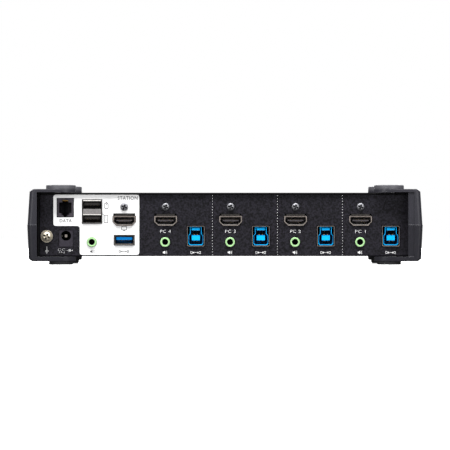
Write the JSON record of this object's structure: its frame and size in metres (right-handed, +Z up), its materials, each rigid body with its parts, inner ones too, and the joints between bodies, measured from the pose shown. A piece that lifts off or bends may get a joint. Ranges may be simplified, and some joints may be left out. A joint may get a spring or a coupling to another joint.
{
  "type": "kvm switch",
  "caption": "Low dark case with video, USB, audio and power sockets on one long side, moulded end caps, and press buttons on the other side.",
  "frame": {"origin": "centre of the footprint, on the surface the feet stand on", "axes": "+Z up; the panel with the sockets faces -Y and the buttons face +Y; +X is to the right for somebody facing the sockets"},
  "size_m": [0.268, 0.164, 0.0542],
  "materials": {
    "black_steel": "satin",
    "cap_plastic": "satin",
    "bezel_plastic": "gloss",
    "button_plastic": "satin",
    "foot_rubber": "matte",
    "nickel": "satin",
    "zinc": "satin",
    "brass": "satin",
    "gold": "satin",
    "black_plastic": "satin",
    "blue_plastic": "satin",
    "green_plastic": "satin",
    "board_green": "satin",
    "clear_plastic": "gloss",
    "silicone": "matte"
  },
  "bodies": {
    "case": {"chassis_tray": "black_steel", "top_cover": "black_steel", "end_cap_left": "cap_plastic", "end_cap_right": "cap_plastic", "front_bezel": "bezel_plastic", "foot_rear_left": "foot_rubber", "foot_rear_right": "foot_rubber", "foot_front_left": "foot_rubber", "foot_front_right": "foot_rubber", "hdmi_shell_1": "nickel", "hdmi_shell_2": "nickel", "hdmi_shell_3": "nickel", "hdmi_shell_4": "nickel", "usb_b_shell_1": "nickel", "usb_b_shell_2": "nickel", "usb_b_shell_3": "nickel", "usb_b_shell_4": "nickel", "console_hdmi_shell": "nickel", "console_usb_shell": "nickel", "front_usb_shell": "nickel", "usb_stack_shell": "nickel", "power_jack_pin": "nickel", "lock_screw_1": "zinc", "lock_screw_2": "zinc", "lock_screw_3": "zinc", "lock_screw_4": "zinc", "console_lock_screw": "zinc", "ground_screw": "brass", "ground_washer": "brass", "serial_contacts": "gold", "hdmi_insulator_1": "black_plastic", "hdmi_insulator_2": "black_plastic", "hdmi_insulator_3": "black_plastic", "hdmi_insulator_4": "black_plastic", "console_hdmi_insulator": "black_plastic", "usb_stack_insulator": "black_plastic", "board_link": "black_plastic", "serial_jack": "black_plastic", "power_jack": "black_plastic", "usb_b_insulator_1": "blue_plastic", "usb_b_insulator_2": "blue_plastic", "usb_b_insulator_3": "blue_plastic", "usb_b_insulator_4": "blue_plastic", "console_usb_insulator": "blue_plastic", "front_usb_insulator": "blue_plastic", "audio_jack_1": "green_plastic", "audio_jack_2": "green_plastic", "audio_jack_3": "green_plastic", "audio_jack_4": "green_plastic", "console_audio_jack": "green_plastic", "lower_board": "board_green", "upper_board": "board_green", "front_board": "board_green", "light_pipe": "clear_plastic", "dome_mat": "silicone"},
    "port_button_1": {"port_button_1": "button_plastic"},
    "port_button_2": {"port_button_2": "button_plastic"},
    "port_button_3": {"port_button_3": "button_plastic"},
    "port_button_4": {"port_button_4": "button_plastic"},
    "mode_button": {"mode_button": "button_plastic"}
  },
  "joints": [
    {"name": "port_button_1_press", "type": "slide", "parent": "case", "child": "port_button_1", "axis": [0, -1, 0], "range_m": [0, 0.0008], "stiffness_N_per_m": 1500, "springref_m": -0.0003},
    {"name": "port_button_2_press", "type": "slide", "parent": "case", "child": "port_button_2", "axis": [0, -1, 0], "range_m": [0, 0.0008], "stiffness_N_per_m": 1500, "springref_m": -0.0003},
    {"name": "port_button_3_press", "type": "slide", "parent": "case", "child": "port_button_3", "axis": [0, -1, 0], "range_m": [0, 0.0008], "stiffness_N_per_m": 1500, "springref_m": -0.0003},
    {"name": "port_button_4_press", "type": "slide", "parent": "case", "child": "port_button_4", "axis": [0, -1, 0], "range_m": [0, 0.0008], "stiffness_N_per_m": 1500, "springref_m": -0.0003},
    {"name": "mode_button_press", "type": "slide", "parent": "case", "child": "mode_button", "axis": [0, -1, 0], "range_m": [0, 0.0008], "stiffness_N_per_m": 1500, "springref_m": -0.0003}
  ]
}
